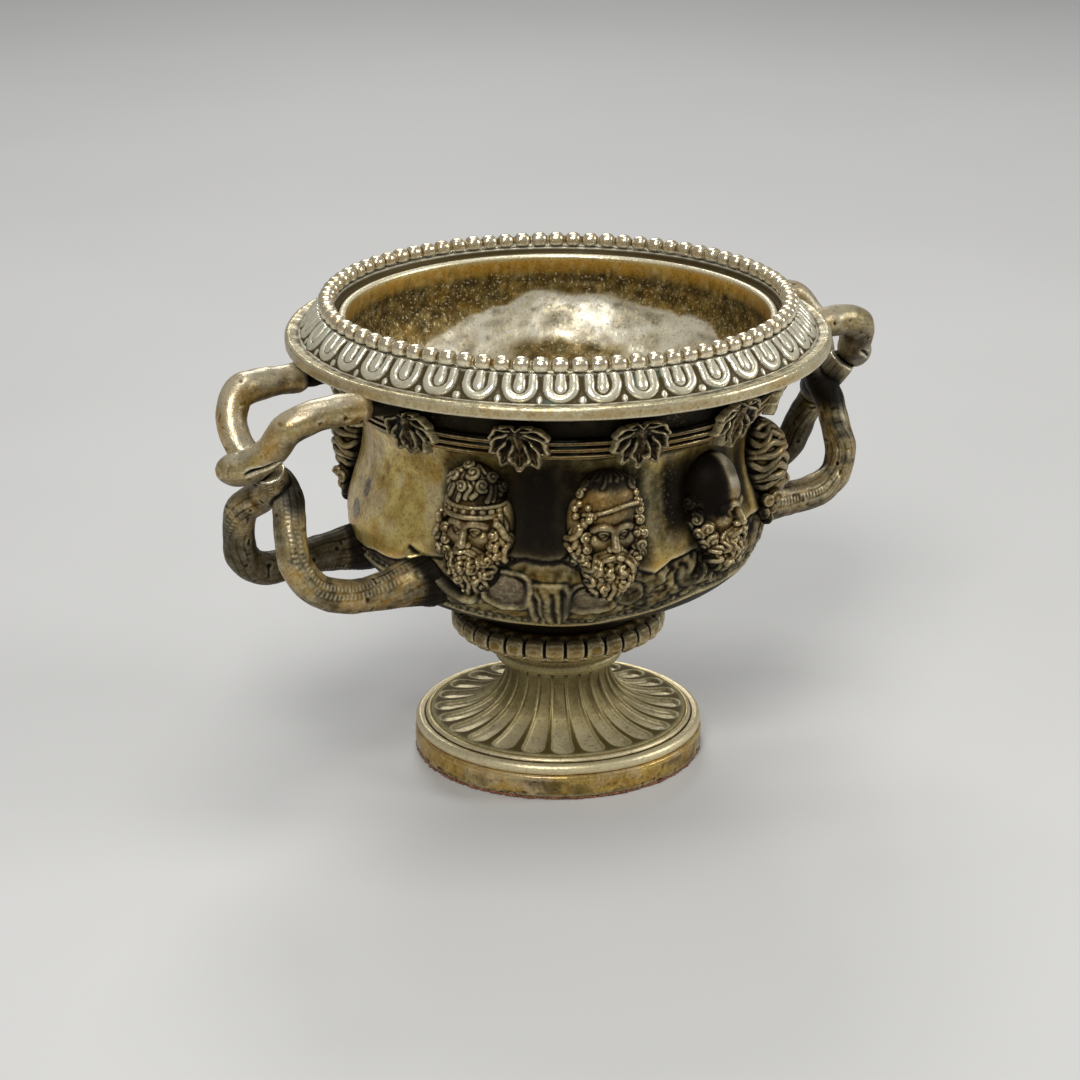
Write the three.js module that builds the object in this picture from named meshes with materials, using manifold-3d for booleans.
// Two-handled krater vase in cast brass: a bowl with a heavy egg-moulded rim, twisted vine handles,
// applied masks and leaf clasps, on a gadrooned collar, a fluted foot and a round plinth.
// Units are millimetres, Z is up, the vase stands on Z = 0 and the handles lie along X.

import * as THREE from "three";
import { mergeVertices } from "three/addons/utils/BufferGeometryUtils.js";
import Module from "manifold-3d";

const wasm = await Module();
wasm.setup();

// Clearance left between turned or fitted neighbours
const GAP = 0.3;

// Base: felt ring, plinth and the clamp that pulls the stack together
const PAD_THICKNESS = 0.8;
const PAD_INSET = 0.3;
const PLINTH_HEIGHT = 5.8;
const PLINTH_MARGIN = 0.2;
const PLINTH_WALL = 9.3;
const PLINTH_LEDGE = 2;
const PLINTH_OPENING = 18;
const PLINTH_ARRIS = 0.4;
const PLATE_THICKNESS = 1.4;
const NUT_FLATS = 13;
const NUT_HEIGHT = 2.2;
const ROD_RADIUS = 3.6;
const ROD_STICKOUT = 0.2;
const ROD_ENTRY = 2.4;

// Foot: torus, fillet, fluted trumpet and the ring at the head of the stem
const FOOT_HEIGHT = 22.3;
const TORUS_RADIUS = 38.1;
const TORUS_HEIGHT = 3.2;
const FILLET_SETBACK = 3.2;
const FILLET_HEIGHT = 0.7;
const STEM_RADIUS = 13.6;
const STEM_RING_RADIUS = 17;
const STEM_RING_HEIGHT = 3.7;
const FOOT_WALL = 2.2;
const FOOT_WEB = 7;
const FLUTES = 24;
const FLUTE_DEPTH = 1.1;

// Collar between the stem and the bowl
const COLLAR_HEIGHT = 15.3;
const COLLAR_RADIUS = 28.3;
const COLLAR_NECK = 22;
const LOBE_RISE = 4.8;
const LOBE_HEIGHT = 6.4;
const LOBES = 32;
const LOBE_DEPTH = 0.9;
const SPIGOT_RADIUS = 9;
const SPIGOT_LENGTH = 8;

// Bowl: swelling underside, belly, hollow neck and the flare that carries the rim
const SEAT_RADIUS = 24.5;
const BELLY_RADIUS = 55;
const BELLY_HEIGHT = 22.8;
const NECK_RADIUS = 50.2;
const NECK_HEIGHT = 45;
const SHOULDER_RADIUS = 57.6;
const SHOULDER_HEIGHT = 68.3;
const SWELL = 0.7;
const BOWL_WALL = 3.2;
const BOWL_FLOOR = 4.4;
const LIP_LEDGE = 1.4;
const LIP_HEIGHT = 7.9;
const LIP_WALL = 1.7;
const BOWL_SIDES = 32;
const WALL_STEPS = 12;

// Rim ring: flat lip, egg-moulded ovolo and the row of beads that stands on it
const RIM_OVERHANG = 12.4;
const RIM_EDGE = 2.9;
const RIM_UNDERCUT = 0.1;
const RIM_HEIGHT = 9.1;
const LIP_FLAT = 3.8;
const EGGS = 40;
const EGG_DEPTH = 1.4;
const EGG_BULGE = 1.3;
const BEADS = 80;
const BEAD_RADIUS = 2.1;
const BEAD_SINK = 0.4;
const BEAD_LEDGE = 0.7;

// Girdle of three reeds under the rim, with leaf clasps over it
const REEDS = 3;
const REED_HEIGHT = 2;
const REED_THICKNESS = 1.5;
const REED_CROWN = 0.5;
const GIRDLE_DROP = 14.9;
const CLASPS = 12;
const CLASP_TURN = 18.3;
const CLASP_WIDTH = 16.5;
const CLASP_HEIGHT = 13;
const CLASP_DROP = 11;
const CLASP_THICKNESS = 1.9;
const CLASP_POINTS = 14;

// Masks: four on each face of the bowl, the second face being the first turned half round
const MASK_TURNS = [215.5, 251, 285, 318];
const MASK_RISE = 34.9;
const SKULL = [7.4, 8.6, 10.5];
const HAIR = [10.4, 5.4, 12];
const BEARD = [7.4, 6.6, 8];
const SKULL_RISE = 2;
const HAIR_RISE = 4;
const BEARD_FALL = 8.5;

// Handles: two stems rise from the belly and twist; one returns to the rim, the other ends under a
// second arm, which runs on from the rim into a pruned stub
const HANDLE_TIP = 98.5;
const LEFT_RISE = 16.7;
const LEFT_BEND = 79.5;
const LEFT_BACK = 83.6;
const RIGHT_RISE = 18.2;
const RIGHT_BEND = 79.5;
const RIGHT_BACK = 82;
const LOOP_PROUD = 4.2;
const ROOT_SPREAD = 16;
const ARM_DROP = 3.9;
const ARM_SPREAD = 16.5;
const ARM_LAP = 6.5;
const ELBOW_RADIUS = 85.5;
const KNOT_RADIUS = 84;
const TRUNK_RADIUS = 4.5;
const ROOT_FLARE = 1.5;
const ARM_RADIUS = 3.9;
const TENON_RADIUS = 2.7;
const STUB_RADIUS = 4.4;
const STEM_SIDES = 7;

// Levels of the stack, from the floor up
const PLINTH_Z = PAD_THICKNESS;
const FOOT_Z = PLINTH_Z + PLINTH_HEIGHT;
const COLLAR_Z = FOOT_Z + FOOT_HEIGHT;
const SEAT_Z = COLLAR_Z + COLLAR_HEIGHT;
const BELLY_Z = SEAT_Z + BELLY_HEIGHT;
const NECK_Z = SEAT_Z + NECK_HEIGHT;
const SHOULDER_Z = SEAT_Z + SHOULDER_HEIGHT;
const RIM_TOP_Z = SHOULDER_Z + RIM_HEIGHT;

// Radii that follow from their neighbours
const PLINTH_RADIUS = TORUS_RADIUS + PLINTH_MARGIN;
const PAD_RADIUS = PLINTH_RADIUS - PAD_INSET;
const FILLET_RADIUS = TORUS_RADIUS - FILLET_SETBACK;
const LIP_RADIUS = SHOULDER_RADIUS - LIP_LEDGE;
const RIM_RADIUS = SHOULDER_RADIUS + RIM_OVERHANG;

const BRASS = { color: 0x9c8446, metalness: 0.85, roughness: 0.42 };
const DARK_BRASS = { color: 0x6d5a32, metalness: 0.8, roughness: 0.5 };
const STEEL = { color: 0x77797c, metalness: 0.9, roughness: 0.45 };
const FELT = { color: 0x5a2f22, metalness: 0, roughness: 0.95 };

const lerp = THREE.MathUtils.lerp;
const smooth = (t) => t * t * (3 - 2 * t);
const radians = THREE.MathUtils.degToRad;

// Outer radius of the bowl at a height
function bowlRadius(z) {
  if (z <= BELLY_Z) {
    const t = Math.max(0, (z - SEAT_Z) / BELLY_HEIGHT);
    return SEAT_RADIUS + (BELLY_RADIUS - SEAT_RADIUS) * Math.sin((Math.PI / 2) * t ** SWELL);
  }
  if (z <= NECK_Z) {
    return lerp(BELLY_RADIUS, NECK_RADIUS, smooth((z - BELLY_Z) / (NECK_Z - BELLY_Z)));
  }
  const t = Math.min(1, (z - NECK_Z) / (SHOULDER_Z - NECK_Z));
  return lerp(NECK_RADIUS, SHOULDER_RADIUS, smooth(t));
}

// Outer wall of the bowl from its seat to its shoulder, moved out by a clearance
function wall(clearance) {
  const points = [];
  for (let i = 0; i <= WALL_STEPS; i += 1) {
    const z = lerp(SEAT_Z, SHOULDER_Z, (i / WALL_STEPS) ** 1.35);
    points.push([bowlRadius(z) + clearance, z]);
  }
  return points;
}

// Joins equal points, drops collapsed faces and turns the faces outward
function weld(source) {
  const bare = source.clone();
  bare.deleteAttribute("normal");
  bare.deleteAttribute("uv");
  const merged = mergeVertices(bare, 1e-4);
  const old = merged.index.array;
  const p = merged.attributes.position;
  const a = new THREE.Vector3();
  const b = new THREE.Vector3();
  const c = new THREE.Vector3();
  const kept = [];
  let volume = 0;
  for (let i = 0; i < old.length; i += 3) {
    const [u, v, w] = [old[i], old[i + 1], old[i + 2]];
    if (u !== v && v !== w && w !== u) {
      kept.push(u, v, w);
      a.fromBufferAttribute(p, u);
      b.fromBufferAttribute(p, v);
      c.fromBufferAttribute(p, w);
      volume += a.dot(b.cross(c));
    }
  }
  if (volume < 0) {
    kept.reverse();
  }
  merged.setIndex(kept);
  return merged;
}

function solid(geometry) {
  const clean = weld(geometry);
  const vertProperties = new Float32Array(clean.attributes.position.array);
  const triVerts = new Uint32Array(clean.index.array);
  return new wasm.Manifold(new wasm.Mesh({ numProp: 3, vertProperties, triVerts }));
}

function geometryOf(manifold) {
  const mesh = manifold.getMesh();
  const geometry = new THREE.BufferGeometry();
  geometry.setAttribute("position", new THREE.BufferAttribute(new Float32Array(mesh.vertProperties), 3));
  geometry.setIndex(Array.from(mesh.triVerts));
  return geometry;
}

// Plain turning about Z; the profile is closed or starts and ends on the axis
function turned(profile, sides) {
  const points = profile.map(([r, z]) => new THREE.Vector2(r, z));
  return weld(new THREE.LatheGeometry(points, sides).rotateX(Math.PI / 2));
}

// Turning whose profile moves in a repeating pattern: each point is [r, z, dr, dz], the pattern gives
// the share of the shift at the stations of one repeat
function patterned(profile, repeats, pattern) {
  const stations = repeats * pattern.length;
  const positions = [];
  for (let i = 0; i < stations; i += 1) {
    const angle = (2 * Math.PI * i) / stations;
    const share = pattern[i % pattern.length];
    for (const [r, z, dr = 0, dz = 0] of profile) {
      const radius = r + share * dr;
      positions.push(radius * Math.cos(angle), radius * Math.sin(angle), z + share * dz);
    }
  }
  const n = profile.length;
  const index = [];
  for (let i = 0; i < stations; i += 1) {
    const next = (i + 1) % stations;
    for (let j = 0; j < n; j += 1) {
      const k = (j + 1) % n;
      index.push(i * n + j, next * n + j, next * n + k);
      index.push(i * n + j, next * n + k, i * n + k);
    }
  }
  const geometry = new THREE.BufferGeometry();
  geometry.setAttribute("position", new THREE.Float32BufferAttribute(positions, 3));
  geometry.setIndex(index);
  return weld(geometry);
}

// Hole about Z whose profile starts and ends on the axis
function bored(geometry, profile) {
  return geometryOf(solid(geometry).subtract(solid(turned(profile, BOWL_SIDES))));
}

// Round stem along a curve with a radius that changes from end to end
function stem(curve, radiusAt, steps) {
  const frames = curve.computeFrenetFrames(steps, false);
  const positions = [];
  const index = [];
  for (let i = 0; i <= steps; i += 1) {
    const centre = curve.getPointAt(i / steps);
    const radius = radiusAt(i / steps, centre);
    for (let j = 0; j < STEM_SIDES; j += 1) {
      const angle = (2 * Math.PI * j) / STEM_SIDES;
      const point = centre.clone();
      point.addScaledVector(frames.normals[i], radius * Math.cos(angle));
      point.addScaledVector(frames.binormals[i], radius * Math.sin(angle));
      positions.push(point.x, point.y, point.z);
    }
  }
  for (let i = 0; i < steps; i += 1) {
    for (let j = 0; j < STEM_SIDES; j += 1) {
      const k = (j + 1) % STEM_SIDES;
      const [a, b] = [i * STEM_SIDES, (i + 1) * STEM_SIDES];
      index.push(a + j, a + k, b + k, a + j, b + k, b + j);
    }
  }
  const last = steps * STEM_SIDES;
  for (let j = 1; j < STEM_SIDES - 1; j += 1) {
    index.push(0, j + 1, j, last, last + j, last + j + 1);
  }
  const geometry = new THREE.BufferGeometry();
  geometry.setAttribute("position", new THREE.Float32BufferAttribute(positions, 3));
  geometry.setIndex(index);
  return weld(geometry);
}

// Felt ring under the plinth
function padRing() {
  const inner = PLINTH_RADIUS - PLINTH_WALL;
  return turned(
    [
      [inner, 0],
      [PAD_RADIUS, 0],
      [PAD_RADIUS, PAD_THICKNESS],
      [inner, PAD_THICKNESS],
      [inner, 0],
    ],
    BOWL_SIDES,
  );
}

// Plinth with an inner ledge for the clamp plate
function plinth() {
  const recess = PLINTH_RADIUS - PLINTH_WALL;
  return turned(
    [
      [recess, PLINTH_Z],
      [PLINTH_RADIUS, PLINTH_Z],
      [PLINTH_RADIUS, FOOT_Z - PLINTH_ARRIS],
      [PLINTH_RADIUS - PLINTH_ARRIS, FOOT_Z],
      [PLINTH_OPENING, FOOT_Z],
      [PLINTH_OPENING, FOOT_Z - PLINTH_LEDGE],
      [recess, FOOT_Z - PLINTH_LEDGE],
      [recess, PLINTH_Z],
    ],
    BOWL_SIDES,
  );
}

// Clamp plate, nut and tie rod
const PLATE_Z = FOOT_Z - PLINTH_LEDGE - PLATE_THICKNESS;
const ROD_BORE = ROD_RADIUS + GAP;

function clampPlate() {
  const radius = PLINTH_RADIUS - PLINTH_WALL - 2 * GAP;
  return turned(
    [
      [ROD_BORE, PLATE_Z],
      [radius, PLATE_Z],
      [radius, PLATE_Z + PLATE_THICKNESS],
      [ROD_BORE, PLATE_Z + PLATE_THICKNESS],
      [ROD_BORE, PLATE_Z],
    ],
    BOWL_SIDES,
  );
}

function nut() {
  const outline = new THREE.Shape();
  const corner = NUT_FLATS / Math.sqrt(3);
  for (let i = 0; i < 6; i += 1) {
    const angle = (Math.PI / 3) * i;
    const place = [corner * Math.cos(angle), corner * Math.sin(angle)];
    if (i === 0) {
      outline.moveTo(...place);
    } else {
      outline.lineTo(...place);
    }
  }
  outline.closePath();
  const hole = new THREE.Path();
  hole.absarc(0, 0, ROD_BORE, 0, 2 * Math.PI, true);
  outline.holes.push(hole);
  const options = { depth: NUT_HEIGHT, bevelEnabled: false, curveSegments: 9 };
  const block = new THREE.ExtrudeGeometry(outline, options);
  return weld(block.translate(0, 0, PLATE_Z - NUT_HEIGHT));
}

function tieRod() {
  const low = PLATE_Z - NUT_HEIGHT - ROD_STICKOUT;
  const high = SEAT_Z + ROD_ENTRY;
  return turned(
    [
      [0, low],
      [ROD_RADIUS, low],
      [ROD_RADIUS, high],
      [0, high],
    ],
    18,
  );
}

// Foot: the trumpet is a hollow curve between the fillet and the stem, fluted along its length
function foot() {
  const filletZ = FOOT_Z + TORUS_HEIGHT;
  const fluteLow = filletZ + FILLET_HEIGHT;
  const ringZ = COLLAR_Z - STEM_RING_HEIGHT;
  const fluteR = FILLET_RADIUS - 1.4;
  const trumpet = (t, inset) => {
    const turn = (Math.PI / 2) * t;
    const r = fluteR - (fluteR - STEM_RADIUS) * Math.sin(turn) ** 0.9;
    const z = fluteLow + 0.2 + (ringZ - fluteLow - 0.8) * (1 - Math.cos(turn)) ** 1.1;
    return [r - inset * Math.sin(turn), z - inset * Math.cos(turn)];
  };
  const outer = [
    [TORUS_RADIUS - 1.5, FOOT_Z],
    [TORUS_RADIUS, FOOT_Z + 0.42 * TORUS_HEIGHT],
    [FILLET_RADIUS, filletZ],
    [FILLET_RADIUS, fluteLow],
    trumpet(0, 0),
  ];
  const steps = 4;
  for (let i = 1; i <= steps; i += 1) {
    const [r, z] = trumpet(i / steps, 0);
    const [deepR, deepZ] = trumpet(i / steps, i === steps ? 0.5 * FLUTE_DEPTH : FLUTE_DEPTH);
    outer.push([r, z, deepR - r, deepZ - z]);
  }
  const head = [
    [STEM_RING_RADIUS, ringZ + 0.28 * STEM_RING_HEIGHT],
    [STEM_RING_RADIUS, ringZ + 0.72 * STEM_RING_HEIGHT],
    [STEM_RING_RADIUS - 1.4, COLLAR_Z],
  ];
  const inset = FLUTE_DEPTH + FOOT_WALL;
  const hollow = [
    [0, FOOT_Z - 1],
    [trumpet(0.3, inset)[0], FOOT_Z - 1],
    trumpet(0.3, inset),
    trumpet(0.5, inset),
    trumpet(0.72, inset),
    [STEM_RADIUS - inset, COLLAR_Z - FOOT_WEB],
    [ROD_BORE, COLLAR_Z - FOOT_WEB],
    [ROD_BORE, COLLAR_Z + 1],
    [0, COLLAR_Z + 1],
  ];
  const body = patterned([[0, FOOT_Z], ...outer, ...head, [0, COLLAR_Z]], FLUTES, [0, 1, 1]);
  return bored(body, hollow);
}

// Collar: a cove below a ring of rounded lobes and a plain neck over it, bored for the spigot of the bowl
function collar() {
  const lobeZ = COLLAR_Z + LOBE_RISE;
  const lobeTop = lobeZ + LOBE_HEIGHT;
  const bore = SPIGOT_RADIUS + GAP;
  const neck = STEM_RING_RADIUS - 0.6;
  const body = patterned(
    [
      [0, COLLAR_Z],
      [neck, COLLAR_Z],
      [lerp(neck, COLLAR_RADIUS, 0.35), COLLAR_Z + 0.75 * LOBE_RISE],
      [COLLAR_RADIUS - 1.1, lobeZ, -LOBE_DEPTH, 0],
      [COLLAR_RADIUS, lobeZ + 0.4 * LOBE_HEIGHT, -LOBE_DEPTH, 0],
      [COLLAR_RADIUS - 0.8, lobeTop - 0.14 * LOBE_HEIGHT, -LOBE_DEPTH, -0.4 * LOBE_DEPTH],
      [COLLAR_RADIUS - 3, lobeTop],
      [COLLAR_NECK, lobeTop],
      [COLLAR_NECK, SEAT_Z],
      [0, SEAT_Z],
    ],
    LOBES,
    [1, 0, 0],
  );
  return bored(body, [
    [0, COLLAR_Z - 1],
    [bore, COLLAR_Z - 1],
    [bore, SEAT_Z + 1],
    [0, SEAT_Z + 1],
  ]);
}

// Bowl: one turning with its inner wall, lip, shoulder, seat, spigot and the blind bore of the tie rod
function bowl() {
  const floorZ = SEAT_Z + BOWL_FLOOR;
  const lipZ = SHOULDER_Z + LIP_HEIGHT;
  const profile = [
    [0, floorZ],
    [0.6 * (SEAT_RADIUS - BOWL_WALL), floorZ],
  ];
  const innerSteps = 6;
  for (let i = 0; i <= innerSteps; i += 1) {
    const z = lerp(floorZ + 1.2, SHOULDER_Z - 1, (i / innerSteps) ** 1.2);
    const thick = i < 2 ? 2.4 * BOWL_WALL : BOWL_WALL;
    profile.push([bowlRadius(z) - thick, z]);
  }
  profile.push([LIP_RADIUS - LIP_WALL, SHOULDER_Z + 2]);
  profile.push([LIP_RADIUS - LIP_WALL, lipZ - 0.5]);
  profile.push([LIP_RADIUS - 0.5 * LIP_WALL, lipZ]);
  profile.push([LIP_RADIUS, lipZ - 0.5]);
  profile.push([LIP_RADIUS, SHOULDER_Z]);
  profile.push(...wall(0).reverse());
  profile.push([SPIGOT_RADIUS, SEAT_Z]);
  profile.push([SPIGOT_RADIUS, SEAT_Z - SPIGOT_LENGTH]);
  profile.push([ROD_BORE, SEAT_Z - SPIGOT_LENGTH]);
  profile.push([ROD_BORE, SEAT_Z + ROD_ENTRY + GAP]);
  profile.push([0, SEAT_Z + ROD_ENTRY + GAP]);
  return turned(profile, BOWL_SIDES);
}

// Rim ring: it drops over the lip of the bowl and rests on the shoulder
const RIM_BORE = LIP_RADIUS + GAP;
const BEAD_CIRCLE = RIM_BORE + BEAD_LEDGE + BEAD_RADIUS;
const OVOLO_TOP = BEAD_CIRCLE + BEAD_RADIUS;
const OVOLO_FOOT = RIM_RADIUS - LIP_FLAT;
const EDGE_Z = SHOULDER_Z + RIM_UNDERCUT;
const LIP_TOP_Z = EDGE_Z + RIM_EDGE + 0.4;

function rimRing() {
  const egg = (t, share) => {
    const r = lerp(OVOLO_FOOT, OVOLO_TOP, t) + EGG_BULGE * Math.sin(Math.PI * t) * 0.7;
    const z = lerp(LIP_TOP_Z, RIM_TOP_Z, t) + EGG_BULGE * Math.sin(Math.PI * t) * 0.7;
    return [r, z, -0.7 * share * EGG_DEPTH, -0.7 * share * EGG_DEPTH];
  };
  const body = patterned(
    [
      [0, SHOULDER_Z],
      [SHOULDER_RADIUS + 1, SHOULDER_Z],
      [RIM_RADIUS, EDGE_Z],
      [RIM_RADIUS, EDGE_Z + RIM_EDGE],
      [RIM_RADIUS - 0.8, LIP_TOP_Z],
      [OVOLO_FOOT, LIP_TOP_Z],
      egg(0.22, 1),
      egg(0.55, 1),
      egg(0.84, 0.6),
      [OVOLO_TOP, RIM_TOP_Z],
      [0, RIM_TOP_Z],
    ],
    EGGS,
    [1, 0, 0],
  );
  return bored(body, [
    [0, SHOULDER_Z - 1],
    [RIM_BORE, SHOULDER_Z - 1],
    [RIM_BORE, RIM_TOP_Z + 1],
    [0, RIM_TOP_Z + 1],
  ]);
}

// Row of beads cut flat below, standing on the top of the rim
function beadRing() {
  const low = BEAD_RADIUS - BEAD_SINK;
  const centreZ = RIM_TOP_Z + low;
  const section = [
    [-0.62, -1],
    [0.62, -1],
    [1, 0.05],
    [0, 1],
    [-1, 0.05],
  ];
  const profile = section.map(([x, y]) => {
    const r = BEAD_CIRCLE + x * (BEAD_RADIUS - 0.05);
    const rise = y < -0.9 ? -low : y * BEAD_RADIUS;
    return [r, centreZ + rise, -0.5 * x * BEAD_RADIUS, -0.42 * (rise + low)];
  });
  return patterned(profile, BEADS, [1, 0]);
}

// Girdle: three reeds that follow the flare of the bowl
const GIRDLE_LOW = SHOULDER_Z - GIRDLE_DROP;
const GIRDLE_HIGH = GIRDLE_LOW + REEDS * REED_HEIGHT;

function girdle() {
  const profile = [];
  for (let i = 0; i <= 2; i += 1) {
    const z = lerp(GIRDLE_HIGH, GIRDLE_LOW, i / 2);
    profile.push([bowlRadius(z) + GAP, z]);
  }
  for (let i = 0; i <= 2 * REEDS; i += 1) {
    const z = GIRDLE_LOW + (i * REED_HEIGHT) / 2;
    const crown = i % 2 === 0 ? -REED_CROWN : 0;
    profile.push([bowlRadius(z) + GAP + REED_THICKNESS + crown, z]);
  }
  profile.push(profile[0]);
  return turned(profile, BOWL_SIDES);
}

// Space that the applied castings must leave to the bowl, the girdle and the rim
function bowlSpace() {
  return solid(turned([[0, SEAT_Z], ...wall(GAP), [0, SHOULDER_Z]], BOWL_SIDES));
}

function bandSpace(low, high, radiusAt) {
  const profile = [[0, low]];
  const steps = 4;
  for (let i = 0; i <= steps; i += 1) {
    const z = lerp(low, high, i / steps);
    profile.push([radiusAt(z), z]);
  }
  profile.push([0, high]);
  return solid(turned(profile, BOWL_SIDES));
}

function rimSpace() {
  return solid(
    turned(
      [
        [0, SHOULDER_Z - GAP],
        [SHOULDER_RADIUS + 1, SHOULDER_Z - GAP],
        [RIM_RADIUS + GAP, EDGE_Z - GAP],
        [RIM_RADIUS + GAP, RIM_TOP_Z],
        [0, RIM_TOP_Z],
      ],
      EGGS * 3,
    ),
  );
}

const claspBack = (z) => bowlRadius(z) + REED_THICKNESS + 2 * GAP;
const CLASP_Z = SHOULDER_Z - CLASP_DROP;
const CLASP_LOW = CLASP_Z - 0.5 * CLASP_HEIGHT;
const CLASP_HIGH = CLASP_Z + 0.5 * CLASP_HEIGHT;

const girdleSpace = bandSpace(GIRDLE_LOW - GAP, GIRDLE_HIGH + GAP, claspBack);
const claspSpace = bandSpace(CLASP_LOW - GAP, CLASP_HIGH + GAP, (z) => claspBack(z) + CLASP_THICKNESS + GAP);
const maskEnvelope = bowlSpace().add(girdleSpace).add(claspSpace);
const handleEnvelope = maskEnvelope.add(rimSpace());

// Leaf clasp: a lobed leaf, point down, crowned along its middle and laid over the girdle
function clasp(turn) {
  const positions = [];
  const ring = (depth, scale) => {
    for (let i = 0; i < CLASP_POINTS; i += 1) {
      const angle = (2 * Math.PI * i) / CLASP_POINTS - Math.PI / 2;
      const lobe = scale * (i % 2 === 0 ? 1 : 0.78);
      const taper = 1 - 0.34 * Math.max(0, -Math.sin(angle));
      const y = 0.5 * CLASP_WIDTH * lobe * Math.cos(angle) * taper;
      const z = CLASP_Z + 0.5 * CLASP_HEIGHT * lobe * Math.sin(angle);
      const radius = claspBack(z) + depth;
      positions.push(Math.sqrt(radius ** 2 - y ** 2), y, z);
    }
  };
  ring(0, 1);
  ring(0.3 * CLASP_THICKNESS, 1);
  ring(CLASP_THICKNESS, 0.55);
  positions.push(claspBack(CLASP_Z), 0, CLASP_Z, claspBack(CLASP_Z) + CLASP_THICKNESS, 0, CLASP_Z);
  const n = CLASP_POINTS;
  const index = [];
  for (let i = 0; i < n; i += 1) {
    const j = (i + 1) % n;
    for (const low of [0, n]) {
      index.push(low + i, low + j, low + n + j, low + i, low + n + j, low + n + i);
    }
    index.push(3 * n, j, i, 3 * n + 1, 2 * n + i, 2 * n + j);
  }
  const leaf = new THREE.BufferGeometry();
  leaf.setAttribute("position", new THREE.Float32BufferAttribute(positions, 3));
  leaf.setIndex(index);
  return weld(leaf.rotateZ(radians(turn)));
}

// Mask: skull, hair and beard as three swellings fitted to the wall
function mask(turn) {
  const z = SEAT_Z + MASK_RISE;
  const lump = ([half, proud, tall], rise, sink) => {
    const ball = new THREE.SphereGeometry(1, 6, 5).rotateX(Math.PI / 2).scale(proud, half, tall);
    return solid(ball.translate(bowlRadius(z + rise) - sink, 0, z + rise).rotateZ(radians(turn)));
  };
  const head = lump(SKULL, SKULL_RISE, 0);
  const hair = lump(HAIR, HAIR_RISE, 0.5);
  const beard = lump(BEARD, -BEARD_FALL, 1);
  return geometryOf(head.add(hair).add(beard).subtract(maskEnvelope));
}

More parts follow.
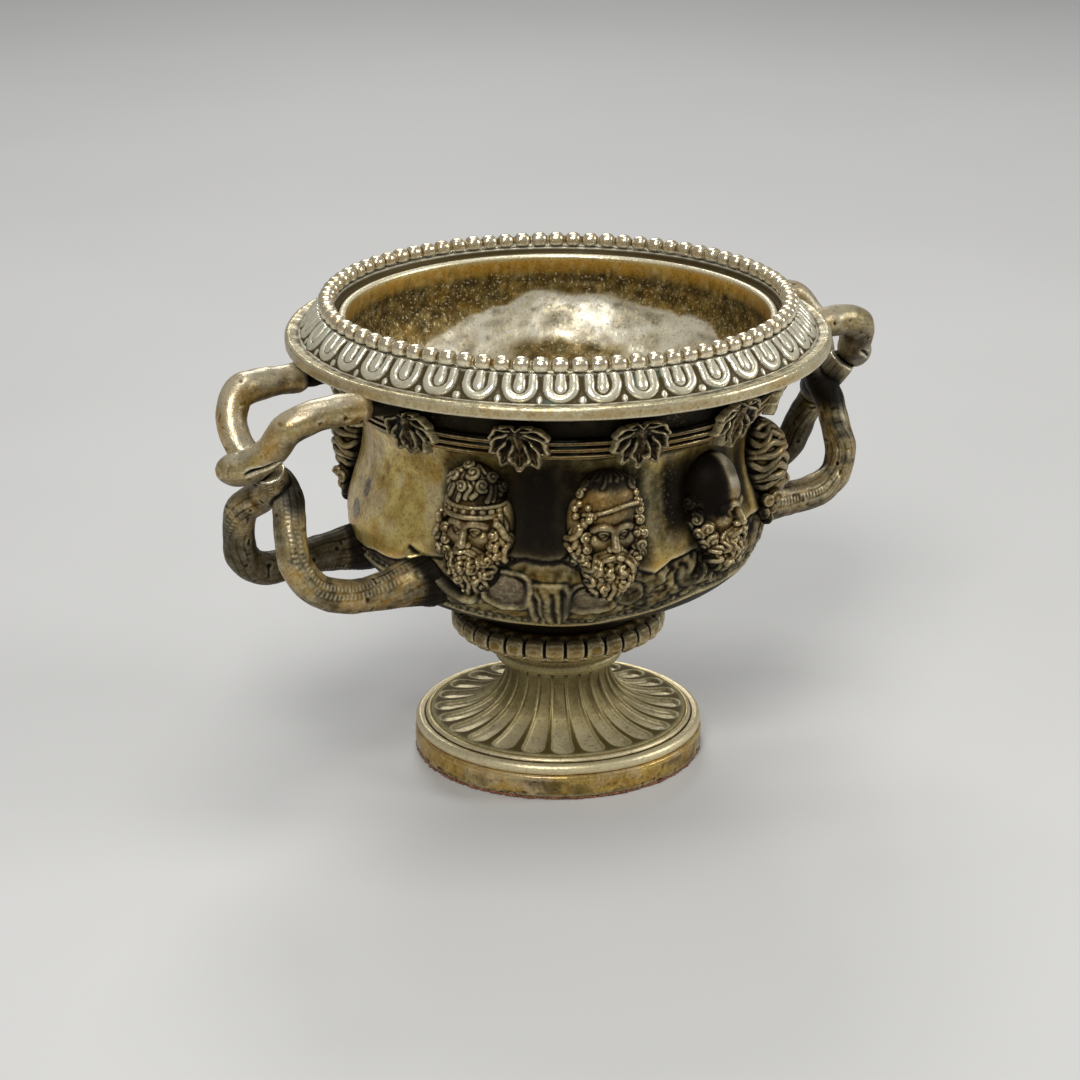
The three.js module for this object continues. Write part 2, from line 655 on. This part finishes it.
// Handle: its paths give distance from the axis, sideways place and share of the way from root to arm
function handle(turn, front, rise, bend, back) {
  const rootZ = SEAT_Z + rise;
  const armZ = SHOULDER_Z - ARM_DROP;
  const wallR = bowlRadius(rootZ);
  const lapR = SHOULDER_RADIUS + ARM_LAP;
  const along = (points, steps, thickness) => {
    const path = points.map(([x, y, share]) => new THREE.Vector3(x, front * y, lerp(rootZ, armZ, share)));
    const curve = new THREE.CatmullRomCurve3(path, false, "centripetal");
    return solid(stem(curve, thickness, steps));
  };
  const trunk = (t) => TRUNK_RADIUS + ROOT_FLARE * Math.max(0, 1 - t / 0.2) ** 2;
  const taper = (t) => lerp(trunk(t), ARM_RADIUS, smooth(Math.min(1, t / 0.7)));
  const arm = (centre) => (centre.x < lapR ? TENON_RADIUS : ARM_RADIUS);
  const returning = along(
    [
      [wallR - 8, ROOT_SPREAD, 0.01],
      [lerp(wallR, bend, 0.35), ROOT_SPREAD, 0],
      [lerp(wallR, bend, 0.7), ROOT_SPREAD - 0.5, 0.01],
      [bend, ROOT_SPREAD - 1.5, 0.08],
      [back, ROOT_SPREAD - 3, 0.21],
      [back, ROOT_SPREAD - 6, 0.36],
      [KNOT_RADIUS - 2, 0.4 * ROOT_SPREAD, 0.5],
      [KNOT_RADIUS - 2, 2.5, 0.58],
      [KNOT_RADIUS + 1.5, -1.5, 0.65],
      [ELBOW_RADIUS + 2.7, -6.5, 0.75],
      [ELBOW_RADIUS + 2.7, -11, 0.88],
      [ELBOW_RADIUS - 0.6, ARM_RADIUS - ARM_SPREAD - 1, 0.99],
      [lerp(lapR, ELBOW_RADIUS, 0.6), 1 - ARM_SPREAD, 1.01],
      [lapR, -ARM_SPREAD, 1],
      [SHOULDER_RADIUS - 8, -ARM_SPREAD, 1],
    ],
    24,
    (t, centre) => (t > 0.5 ? Math.min(taper(t), arm(centre)) : taper(t)),
  );
  const looped = along(
    [
      [wallR - 8, -ROOT_SPREAD, -0.01],
      [lerp(wallR, bend, 0.4), -ROOT_SPREAD, 0],
      [bend, 1.6 - ROOT_SPREAD, 0],
      [back + 0.45 * LOOP_PROUD, 3.5 - ROOT_SPREAD, 0.1],
      [back + LOOP_PROUD, 6 - ROOT_SPREAD, 0.275],
      [KNOT_RADIUS + 4, 9 - ROOT_SPREAD, 0.42],
      [KNOT_RADIUS + 0.5, -3, 0.5],
      [KNOT_RADIUS, 3, 0.58],
      [KNOT_RADIUS + 3, 6, 0.7],
    ],
    15,
    (t) => lerp(trunk(t), ARM_RADIUS, smooth(t)),
  );
  const pruned = along(
    [
      [SHOULDER_RADIUS - 8, ARM_SPREAD, 1],
      [lapR, ARM_SPREAD, 1.02],
      [lerp(lapR, ELBOW_RADIUS, 0.75), ARM_SPREAD - 0.5, 1.015],
      [ELBOW_RADIUS, ARM_SPREAD - 2.5, 0.955],
      [ELBOW_RADIUS + 2.4, ARM_SPREAD - 6.5, 0.835],
      [lerp(ELBOW_RADIUS, HANDLE_TIP, 0.46), 5, 0.73],
      [lerp(ELBOW_RADIUS, HANDLE_TIP, 0.78), 1.5, 0.705],
      [HANDLE_TIP, 0, 0.695],
    ],
    14,
    (t, centre) => {
      const swollen = arm(centre) + (STUB_RADIUS - ARM_RADIUS) * smooth(t);
      return swollen * Math.sqrt(Math.max(0.05, 1 - Math.max(0, (t - 0.86) / 0.14) ** 3));
    },
  );
  const casting = returning.add(looped).add(pruned);
  return geometryOf(casting.rotate([0, 0, turn]).subtract(handleEnvelope));
}

const vase = new THREE.Group();
vase.name = "krater_vase";

function add(name, geometry, look) {
  geometry.computeVertexNormals();
  const mesh = new THREE.Mesh(geometry, new THREE.MeshStandardMaterial(look));
  mesh.name = name;
  vase.add(mesh);
}

add("felt_pad", padRing(), FELT);
add("plinth", plinth(), BRASS);
add("clamp_plate", clampPlate(), STEEL);
add("clamp_nut", nut(), STEEL);
add("tie_rod", tieRod(), STEEL);
add("foot", foot(), BRASS);
add("collar", collar(), BRASS);
add("bowl", bowl(), BRASS);
add("rim_ring", rimRing(), BRASS);
add("bead_ring", beadRing(), BRASS);
add("girdle", girdle(), DARK_BRASS);
for (let i = 0; i < CLASPS; i += 1) {
  add(`leaf_clasp_${i + 1}`, clasp(CLASP_TURN + (360 * i) / CLASPS), DARK_BRASS);
}
for (let i = 0; i < 2 * MASK_TURNS.length; i += 1) {
  const half = i < MASK_TURNS.length ? 0 : 180;
  add(`mask_${i + 1}`, mask(MASK_TURNS[i % MASK_TURNS.length] + half), BRASS);
}
add("handle_right", handle(0, -1, RIGHT_RISE, RIGHT_BEND, RIGHT_BACK), BRASS);
add("handle_left", handle(180, 1, LEFT_RISE, LEFT_BEND, LEFT_BACK), BRASS);

export default vase;
